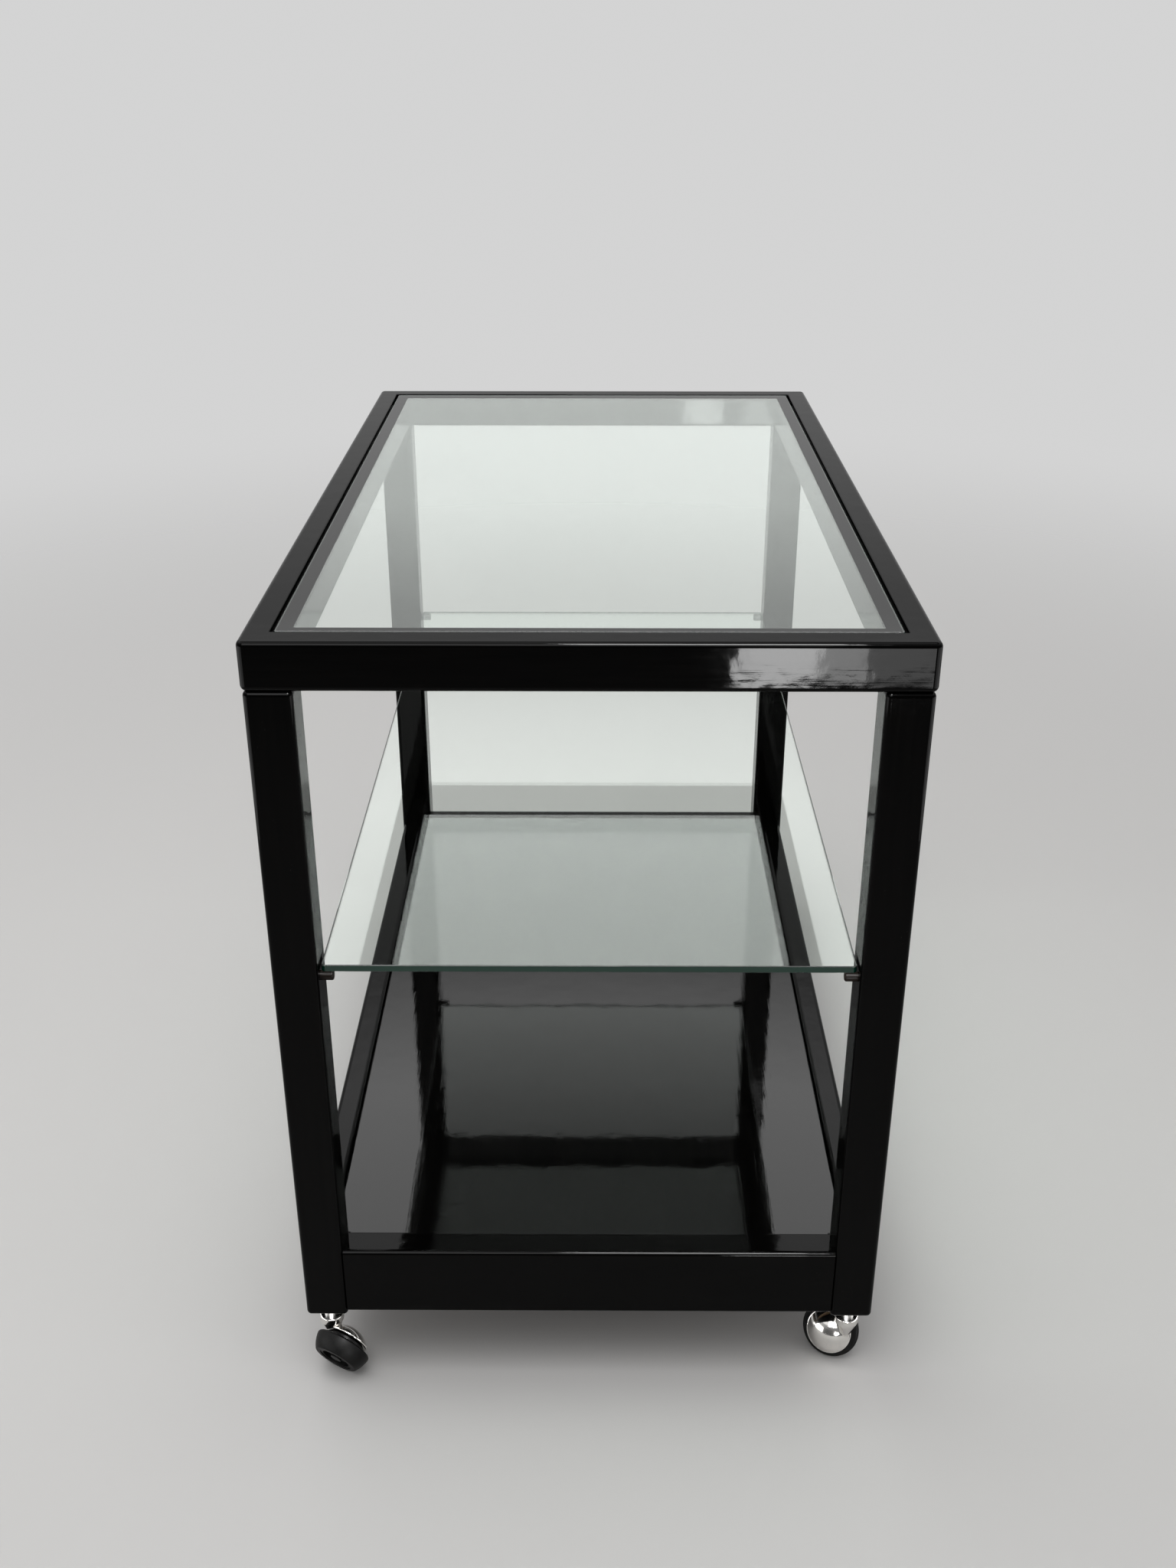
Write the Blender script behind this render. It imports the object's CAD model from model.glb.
import math

import bpy
from mathutils import Matrix, Vector

# The looks of the serving trolley: black lacquered wood, clear glass and chromed ball casters.
# Metres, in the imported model's own frame: x to the right, y to the back, z up.

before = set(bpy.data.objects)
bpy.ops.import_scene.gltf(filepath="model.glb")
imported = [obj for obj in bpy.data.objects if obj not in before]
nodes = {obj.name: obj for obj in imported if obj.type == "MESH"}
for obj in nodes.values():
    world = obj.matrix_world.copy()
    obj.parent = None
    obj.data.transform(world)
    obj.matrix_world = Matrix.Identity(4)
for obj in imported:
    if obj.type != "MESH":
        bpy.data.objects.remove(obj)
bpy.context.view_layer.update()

CORNERS = ("front_left", "front_right", "back_left", "back_right")
X_AXIS, Y_AXIS, Z_AXIS = range(3)

# Camera, worked out from the photograph's perspective
CAMERA_PLACE = Vector((0.0045, -1.3852, 1.0488))
CAMERA_PITCH = math.radians(26.07)
CAMERA_YAW = math.radians(-0.302)
CAMERA_NEAR = 0.05
CAMERA_FAR = 100
FOCAL_PIXELS = 2033.4
IMAGE_HEIGHT = 2048
SENSOR = 36.0


def make_camera():
    data = bpy.data.cameras.new("camera")
    data.sensor_width = SENSOR
    data.lens = FOCAL_PIXELS / IMAGE_HEIGHT * SENSOR
    data.clip_start = CAMERA_NEAR
    data.clip_end = CAMERA_FAR
    camera = bpy.data.objects.new("camera", data)
    forward = Vector((
        math.sin(CAMERA_YAW) * math.cos(CAMERA_PITCH),
        math.cos(CAMERA_YAW) * math.cos(CAMERA_PITCH),
        -math.sin(CAMERA_PITCH),
    ))
    right = forward.cross(Vector((0, 0, 1))).normalized()
    up = right.cross(forward)
    turn = Matrix((right, up, -forward)).transposed().to_4x4()
    camera.matrix_world = Matrix.Translation(CAMERA_PLACE) @ turn
    bpy.context.scene.collection.objects.link(camera)
    bpy.context.scene.camera = camera


# Helpers for nodes


class Tree:
    """The nodes of a material or world, with short calls for making and joining them."""

    def __init__(self, owner, output):
        owner.use_nodes = True
        self.owner = owner
        self.nodes = owner.node_tree.nodes
        self.links = owner.node_tree.links
        self.nodes.clear()
        self.output = self.nodes.new(output)

    def join(self, source, target):
        self.links.new(source, target)

    def noise(self, vector, scale, detail=3.0, rough=0.5, distortion=0.0):
        node = self.nodes.new("ShaderNodeTexNoise")
        node.inputs["Scale"].default_value = scale
        node.inputs["Detail"].default_value = detail
        node.inputs["Roughness"].default_value = rough
        node.inputs["Distortion"].default_value = distortion
        self.join(vector, node.inputs["Vector"])
        return node.outputs["Fac"]

    def span(self, source, within, to, smooth=False):
        """Maps the range within, clamped, to the range to."""
        node = self.nodes.new("ShaderNodeMapRange")
        if smooth:
            node.interpolation_type = "SMOOTHSTEP"
        node.inputs["From Min"].default_value = within[0]
        node.inputs["From Max"].default_value = within[1]
        node.inputs["To Min"].default_value = to[0]
        node.inputs["To Max"].default_value = to[1]
        self.join(source, node.inputs["Value"])
        return node.outputs["Result"]

    def ramp(self, source, *stops):
        """Colours by place between 0 and 1."""
        node = self.nodes.new("ShaderNodeValToRGB")
        elements = node.color_ramp.elements
        while len(elements) < len(stops):
            elements.new(0.5)
        for element, (position, colour) in zip(elements, stops):
            element.position = position
            element.color = (*colour, 1.0)
        self.join(source, node.inputs["Fac"])
        return node.outputs["Color"]

    def levels(self, source, *stops):
        """Amounts by place between 0 and 1."""
        return self.ramp(source, *[(position, (amount,) * 3) for position, amount in stops])

    def math(self, operation, *terms):
        node = self.nodes.new("ShaderNodeMath")
        node.operation = operation
        for socket, term in zip(node.inputs, terms):
            if isinstance(term, float):
                socket.default_value = term
            else:
                self.join(term, socket)
        return node.outputs["Value"]

    def sum(self, first, second, share):
        """first + share * second."""
        return self.math("MULTIPLY_ADD", second, share, first)

    def blend(self, share, first, second):
        """The first colour, and the second where share is 1."""
        node = self.nodes.new("ShaderNodeMix")
        node.data_type = "RGBA"
        self.join(share, node.inputs["Factor"])
        for place, colour in ((6, first), (7, second)):
            if isinstance(colour, tuple):
                node.inputs[place].default_value = (*colour, 1.0)
            else:
                self.join(colour, node.inputs[place])
        return node.outputs[2]

    def choose(self, switch, otherwise, chosen):
        """The first amount, and the second where switch is 1."""
        node = self.nodes.new("ShaderNodeMix")
        self.join(switch, node.inputs["Factor"])
        for place, amount in ((2, otherwise), (3, chosen)):
            if isinstance(amount, float):
                node.inputs[place].default_value = amount
            else:
                self.join(amount, node.inputs[place])
        return node.outputs[0]

    def parts(self, vector):
        node = self.nodes.new("ShaderNodeSeparateXYZ")
        self.join(vector, node.inputs["Vector"])
        return node.outputs


class MaterialTree(Tree):
    """A material's nodes, placed by the object's own coordinates."""

    def __init__(self, name):
        super().__init__(bpy.data.materials.new(name), "ShaderNodeOutputMaterial")
        self.place = self.nodes.new("ShaderNodeTexCoord").outputs["Object"]

    def shader(self, **settings):
        node = self.nodes.new("ShaderNodeBsdfPrincipled")
        for name, amount in settings.items():
            node.inputs[name.replace("_", " ")].default_value = amount
        self.join(node.outputs["BSDF"], self.output.inputs["Surface"])
        return node

    def clear(self, colour=(1.0, 1.0, 1.0)):
        node = self.nodes.new("ShaderNodeBsdfTransparent")
        node.inputs["Color"].default_value = (*colour, 1.0)
        return node.outputs["BSDF"]

    def stretched(self, scale):
        node = self.nodes.new("ShaderNodeMapping")
        node.inputs["Scale"].default_value = scale
        self.join(self.place, node.inputs["Vector"])
        return node.outputs["Vector"]

    def along(self, axis, lengthways):
        """Coordinates that a pattern is drawn out in along one axis."""
        return self.stretched(tuple(
            lengthways if place == axis else 1.0 for place in (X_AXIS, Y_AXIS, Z_AXIS)
        ))

    def show(self, share, first, second):
        """Puts the first shader on the surface, and the second where share is 1."""
        node = self.nodes.new("ShaderNodeMixShader")
        self.join(share, node.inputs["Fac"])
        self.join(first, node.inputs[1])
        self.join(second, node.inputs[2])
        self.join(node.outputs["Shader"], self.output.inputs["Surface"])

    def bump(self, source, strength, distance, under=None):
        node = self.nodes.new("ShaderNodeBump")
        node.inputs["Strength"].default_value = strength
        node.inputs["Distance"].default_value = distance
        self.join(source, node.inputs["Height"])
        if under is not None:
            self.join(under, node.inputs["Normal"])
        return node.outputs["Normal"]


def dress(material, *names):
    for name in names:
        slots = nodes[name].data.materials
        slots.clear()
        slots.append(material)


# Materials: rough is the least and greatest roughness, and gloss the specular level

LACQUER_IOR = 1.5
LACQUER_DARK = (0.0008, 0.0008, 0.0008)
LACQUER_LIGHT = (0.0018, 0.0016, 0.0015)
LACQUER_DUST = (0.05, 0.048, 0.044)
DUST_FADE = 0.04

WOOD_IOR = 1.45
WOOD_DARK = (0.42, 0.26, 0.14)
WOOD_LIGHT = (0.66, 0.48, 0.31)

GLASS_IOR = 1.52
PANE_CLEAN = (0.985, 1.0, 0.992)
PANE_SMEARED = (0.955, 0.970, 0.962)
PANE_SHADOW = (0.92, 0.93, 0.925)
EDGE_GREEN = (0.002, 0.040, 0.024)
EDGE_TRANSMISSION = 0.15
EDGE_ROUGHNESS = 0.12
# A face is an edge where the upright part of its normal is small
EDGE_UPRIGHT = (0.35, 0.8)
GLASS_TINT = (0.25, 0.85, 0.40)
GLASS_DENSITY = 7.0

# How much darker metal is in its smudges
SMUDGE_SHARE = 0.86
SCREW_ZINC = (0.56, 0.53, 0.47)
CASTER_STEEL = (0.60, 0.60, 0.60)
CASTER_CHROME = (0.84, 0.82, 0.79)

MOULDED_IOR = 1.48
MOULDED_GLOSS = 0.14
PIN_COLOURS = ((0.010, 0.006, 0.004), (0.022, 0.013, 0.009))
HUB_COLOURS = ((0.003, 0.003, 0.003), (0.008, 0.008, 0.008))
TYRE_COLOURS = ((0.002, 0.002, 0.002), (0.011, 0.0105, 0.010))


def lacquer(name, axis, rough, gloss, dust, ripple):
    """Black gloss lacquer over wood whose grain runs along one axis, with specks of dust.

    There is a speck where a fine noise passes dust. ripple is the height in metres of the slow
    waves that make a mirror image's edges uneven.
    """
    tree = MaterialTree(name)
    grain = tree.noise(tree.along(axis, 0.045), scale=190.0, detail=4.0, rough=0.62, distortion=0.5)
    peel = tree.noise(tree.place, scale=420.0, detail=2.0)
    waves = tree.noise(tree.place, scale=38.0, detail=2.0)
    fine = tree.noise(tree.place, scale=1300.0, detail=1.0)
    shader = tree.shader(IOR=LACQUER_IOR, Specular_IOR_Level=gloss)
    black = tree.ramp(grain, (0.3, LACQUER_DARK), (0.7, LACQUER_LIGHT))
    specks = tree.span(fine, within=(dust, dust + DUST_FADE), to=(0.0, 1.0))
    tree.join(tree.blend(specks, black, LACQUER_DUST), shader.inputs["Base Color"])
    mottle = tree.sum(grain, waves, 0.6)
    tree.join(tree.span(mottle, within=(0.5, 1.1), to=rough), shader.inputs["Roughness"])
    rippled = tree.bump(waves, strength=0.5, distance=ripple)
    grained = tree.bump(grain, strength=0.14, distance=0.00014, under=rippled)
    peeled = tree.bump(peel, strength=0.08, distance=0.00008, under=grained)
    tree.join(peeled, shader.inputs["Normal"])
    return tree.owner


def bare_wood(name, axis):
    """Pale wood under the lacquer, for the pieces that nobody sees."""
    tree = MaterialTree(name)
    grain = tree.noise(tree.along(axis, 0.05), scale=160.0, detail=5.0, rough=0.6, distortion=0.8)
    flecks = tree.noise(tree.along(axis, 0.16), scale=900.0, detail=1.0)
    shader = tree.shader(IOR=WOOD_IOR)
    colour = tree.ramp(grain, (0.3, WOOD_DARK), (0.7, WOOD_LIGHT))
    tree.join(colour, shader.inputs["Base Color"])
    tree.join(tree.span(flecks, within=(0.3, 0.7), to=(0.5, 0.7)), shader.inputs["Roughness"])
    pores = tree.sum(grain, flecks, 0.4)
    tree.join(tree.bump(pores, strength=0.25, distance=0.0003), shader.inputs["Normal"])
    return tree.owner


def glass(name):
    """Clear float glass with dark green edges, that lets the lamps' light through."""
    tree = MaterialTree(name)
    shader = tree.shader(IOR=GLASS_IOR)
    normal = tree.parts(tree.nodes.new("ShaderNodeNewGeometry").outputs["Normal"])
    edge = tree.span(tree.math("ABSOLUTE", normal["Z"]), within=EDGE_UPRIGHT, to=(1.0, 0.0))
    clouds = tree.noise(tree.along(Y_AXIS, 0.35), scale=7.0, detail=4.0, rough=0.6)
    smears = tree.span(clouds, within=(0.5, 0.8), to=(0.0, 1.0))
    pane = tree.blend(smears, PANE_CLEAN, PANE_SMEARED)
    tree.join(tree.blend(edge, pane, EDGE_GREEN), shader.inputs["Base Color"])
    for socket, on_pane, on_edge in (
        ("Transmission Weight", 1.0, EDGE_TRANSMISSION),
        ("Roughness", 0.0, EDGE_ROUGHNESS),
    ):
        tree.join(tree.span(edge, within=(0.0, 1.0), to=(on_pane, on_edge)), shader.inputs[socket])
    shadow_ray = tree.nodes.new("ShaderNodeLightPath").outputs["Is Shadow Ray"]
    tree.show(shadow_ray, shader.outputs["BSDF"], tree.clear(PANE_SHADOW))
    tint = tree.nodes.new("ShaderNodeVolumeAbsorption")
    tint.inputs["Color"].default_value = (*GLASS_TINT, 1.0)
    tint.inputs["Density"].default_value = GLASS_DENSITY
    tree.join(tint.outputs["Volume"], tree.output.inputs["Volume"])
    return tree.owner


def metal(name, colour, rough):
    """Bright metal with faint smudges."""
    tree = MaterialTree(name)
    smudges = tree.noise(tree.place, scale=70.0, detail=4.0, rough=0.6)
    fine = tree.noise(tree.place, scale=2080.0, detail=2.0)
    shader = tree.shader(Metallic=1.0)
    darker = tuple(SMUDGE_SHARE * part for part in colour)
    tree.join(tree.ramp(smudges, (0.3, darker), (0.6, colour)), shader.inputs["Base Color"])
    tree.join(tree.span(smudges, within=(0.35, 0.75), to=rough), shader.inputs["Roughness"])
    tree.join(tree.bump(fine, strength=0.05, distance=0.00003), shader.inputs["Normal"])
    return tree.owner


def moulded(name, colours, rough, bumps):
    """Black plastic or rubber with a little dust in its surface."""
    tree = MaterialTree(name)
    clouds = tree.noise(tree.place, scale=55.0, detail=5.0, rough=0.65)
    fine = tree.noise(tree.place, scale=1500.0, detail=2.0)
    shader = tree.shader(IOR=MOULDED_IOR, Specular_IOR_Level=MOULDED_GLOSS)
    dark, light = colours
    tree.join(tree.ramp(clouds, (0.35, dark), (0.75, light)), shader.inputs["Base Color"])
    mottle = tree.sum(clouds, fine, 0.3)
    tree.join(tree.span(mottle, within=(0.4, 0.9), to=rough), shader.inputs["Roughness"])
    grit = tree.sum(fine, clouds, 0.5)
    tree.join(tree.bump(grit, strength=bumps, distance=0.0001), shader.inputs["Normal"])
    return tree.owner


def dress_nodes():
    def frame_lacquer(name, axis):
        return lacquer(name, axis, rough=(0.03, 0.07), gloss=0.07, dust=0.80, ripple=0.00035)

    across = frame_lacquer("lacquer_across", X_AXIS)
    lengthways = frame_lacquer("lacquer_lengthways", Y_AXIS)
    upright = frame_lacquer("lacquer_upright", Z_AXIS)
    for tier in ("top", "lower"):
        dress(across, f"{tier}_rail_front", f"{tier}_rail_back")
        dress(lengthways, f"{tier}_rail_left", f"{tier}_rail_right")
    dress(upright, *[f"leg_{corner}" for corner in CORNERS])
    panel = lacquer(
        "lacquer_panel", Y_AXIS, rough=(0.015, 0.05), gloss=0.26, dust=0.74, ripple=0.00012
    )
    dress(panel, "base_panel")
    dress(bare_wood("wood_across", X_AXIS), "cleat_front", "cleat_back", "mitre_tongues")
    dress(bare_wood("wood_lengthways", Y_AXIS), "cleat_left", "cleat_right", "rail_dowels")
    dress(bare_wood("wood_upright", Z_AXIS), "leg_dowels")
    dress(glass("float_glass"), "top_glass", "shelf_glass")
    dress(metal("screw_zinc", SCREW_ZINC, rough=(0.28, 0.42)), "cleat_screws", "panel_screws")
    dress(moulded("pin_brown", PIN_COLOURS, rough=(0.25, 0.4), bumps=0.08), "shelf_pins")
    steel = metal("caster_steel", CASTER_STEEL, rough=(0.18, 0.32))
    chrome = metal("caster_chrome", CASTER_CHROME, rough=(0.07, 0.17))
    hub = moulded("hub_plastic", HUB_COLOURS, rough=(0.30, 0.45), bumps=0.06)
    tyre = moulded("tyre_rubber", TYRE_COLOURS, rough=(0.38, 0.58), bumps=0.30)
    for corner in CORNERS:
        for piece in ("sleeve", "stem", "grip_ring"):
            dress(steel, f"caster_{piece}_{corner}")
        dress(chrome, f"caster_hood_{corner}")
        dress(hub, f"wheel_hub_{corner}", f"caster_axle_{corner}")
        dress(tyre, f"tyre_{corner}")


# Studio

FLOOR_COLOUR = (0.72, 0.71, 0.70)
FLOOR_HALF = 7.0
FLOOR_FADE = (0.8, 3.2)

# The world's strength: what the camera sees, and what lights rough surfaces
PAPER = 0.82
AMBIENT = 0.62
# What gloss sees, from the camera's side to the far side, times a share by height. This stands
# for a dark room in front, and a bright wall with its cornice behind.
GLOSS_SIDES = (-0.8, 0.5)
GLOSS_STRENGTHS = (0.7, 3.6)
GLOSS_SHARES = (
    (0.0, 0.18), (0.33, 0.20), (0.40, 0.33), (0.53, 0.33), (0.60, 1.0), (0.74, 1.0), (0.85, 0.33),
)
# What rays that left through glass see: PAPER, rising to GLASS_STRENGTH by these shares by height
GLASS_STRENGTH = 3.2
GLASS_SHARES = (
    (0.0, 0.0), (0.1, 0.65), (0.27, 0.65), (0.34, 0.25), (0.38, 0.25), (0.45, 1.0), (0.545, 1.0),
    (0.60, 0.50), (0.63, 0.20), (0.65, 0.0),
)

# The window that the front top rail mirrors, as cards side by side: name, x, width, radiance
WINDOW_CARDS = (
    ("window", 0.280, 0.125, 64.0),
    ("window_side", 0.380, 0.075, 30.0),
    ("window_end", 0.475, 0.115, 10.0),
)
CARD_Y = -1.6
CARD_AIM_Y = -0.4
CARD_Z = 0.225
CARD_HEIGHT = 0.15


def make_floor():
    """A pale floor that fades into the pale background."""
    tree = MaterialTree("floor_paint")
    shader = tree.shader(Base_Color=(*FLOOR_COLOUR, 1.0), Specular_IOR_Level=0.0)
    clouds = tree.noise(tree.place, scale=3.0, detail=3.0)
    tree.join(tree.span(clouds, within=(0.3, 0.7), to=(0.5, 0.6)), shader.inputs["Roughness"])
    length = tree.nodes.new("ShaderNodeVectorMath")
    length.operation = "LENGTH"
    tree.join(tree.place, length.inputs[0])
    fade = tree.span(length.outputs["Value"], within=FLOOR_FADE, to=(0.0, 1.0), smooth=True)
    tree.show(fade, shader.outputs["BSDF"], tree.clear())
    corners = [(x * FLOOR_HALF, y * FLOOR_HALF, 0) for x, y in ((-1, -1), (1, -1), (1, 1), (-1, 1))]
    mesh = bpy.data.meshes.new("floor")
    mesh.from_pydata(corners, [], [(0, 1, 2, 3)])
    mesh.materials.append(tree.owner)
    floor = bpy.data.objects.new("floor", mesh)
    bpy.context.scene.collection.objects.link(floor)


def make_lamp(name, place, aim, size, radiance, shine_on=None):
    """An area lamp of a width and height.

    One that shines on a group of pieces gives them highlights and no other light.
    """
    width, height = size
    data = bpy.data.lights.new(name, "AREA")
    data.shape = "RECTANGLE"
    data.size = width
    data.size_y = height
    data.energy = radiance * width * height * math.pi
    lamp = bpy.data.objects.new(name, data)
    lamp.location = place
    lamp.rotation_euler = (Vector(aim) - Vector(place)).to_track_quat("-Z", "Y").to_euler()
    lamp.visible_camera = False
    if shine_on:
        lamp.visible_diffuse = False
        lamp.visible_transmission = False
        lamp.light_linking.receiver_collection = shine_on
    bpy.context.scene.collection.objects.link(lamp)


def make_world():
    """A pale paper background, that gloss and glass see with the room's light and dark sides."""
    world = bpy.data.worlds.new("studio")
    tree = Tree(world, "ShaderNodeOutputWorld")
    direction = tree.parts(tree.nodes.new("ShaderNodeTexCoord").outputs["Generated"])
    path = tree.nodes.new("ShaderNodeLightPath").outputs
    by_side = tree.span(direction["Y"], within=GLOSS_SIDES, to=GLOSS_STRENGTHS)
    mirrored = tree.math("MULTIPLY", by_side, tree.levels(direction["Z"], *GLOSS_SHARES))
    share = tree.levels(direction["Z"], *GLASS_SHARES)
    through = tree.span(share, within=(0.0, 1.0), to=(PAPER, GLASS_STRENGTH))
    strength = tree.choose(path["Is Glossy Ray"], AMBIENT, mirrored)
    strength = tree.choose(path["Is Transmission Ray"], strength, through)
    strength = tree.choose(path["Is Camera Ray"], strength, PAPER)
    background = tree.nodes.new("ShaderNodeBackground")
    tree.join(strength, background.inputs["Strength"])
    tree.join(background.outputs["Background"], tree.output.inputs["Surface"])
    bpy.context.scene.world = world


def make_lamps():
    make_lamp("overhead", (-0.5, -0.4, 2.6), (0, 0, 0.3), (2.8, 2.2), 1.7)
    opaque = bpy.data.collections.new("opaque_pieces")
    for name, piece in nodes.items():
        if not name.endswith("_glass"):
            opaque.objects.link(piece)
    for name, x, width, radiance in WINDOW_CARDS:
        place, aim = (x, CARD_Y, CARD_Z), (x, CARD_AIM_Y, CARD_Z)
        make_lamp(name, place, aim, (width, CARD_HEIGHT), radiance, opaque)
    make_lamp("high_window", (0.22, -1.49, 2.23), (0.1, -0.4, 0.67), (0.56, 0.6), 60.0, opaque)
    make_lamp("front_softbox", (-0.2, -2.2, 2.0), (0.1, -0.4, 0.2), (1.6, 1.2), 5.0, opaque)
    for name, side in (("left_strip", -1), ("right_strip", 1)):
        place, aim = (side * 1.1, -0.75, 0.3), (side * 0.24, -0.45, 0.4)
        make_lamp(name, place, aim, (1.2, 0.5), 2.5, opaque)


make_camera()
dress_nodes()
make_floor()
make_world()
make_lamps()
bpy.context.scene.view_settings.view_transform = "Standard"
